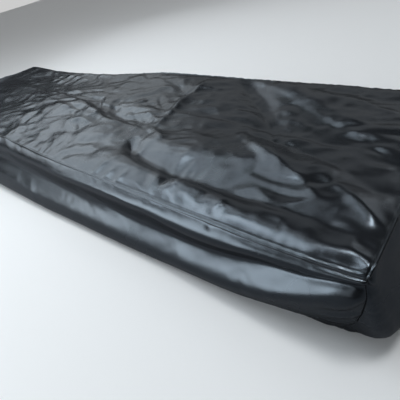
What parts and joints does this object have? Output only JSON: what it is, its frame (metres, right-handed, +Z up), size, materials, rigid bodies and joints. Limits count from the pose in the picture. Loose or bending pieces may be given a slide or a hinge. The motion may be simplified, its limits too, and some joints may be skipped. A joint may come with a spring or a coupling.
{
  "type": "fitted piano cover",
  "caption": "Fitted black nylon dust cover for a long digital piano: seamed top with sagging folds, hanging skirt, hem drawn in, hollow and open below.",
  "frame": {"origin": "middle of the top, at the height where the top lies on the instrument", "axes": "+X along the keyboard to the right, -Y towards the player, +Z up"},
  "size_m": [1.4771, 0.4843, 0.1861],
  "materials": {
    "top_cloth": "black coated nylon, plain weave, satin",
    "skirt_cloth": "black coated nylon, plain weave, satin"
  },
  "bodies": {
    "root": {"top_panel": "top_cloth", "front_panel": "skirt_cloth", "back_panel": "skirt_cloth", "left_end_panel": "skirt_cloth", "right_end_panel": "skirt_cloth"}
  },
  "joints": []
}
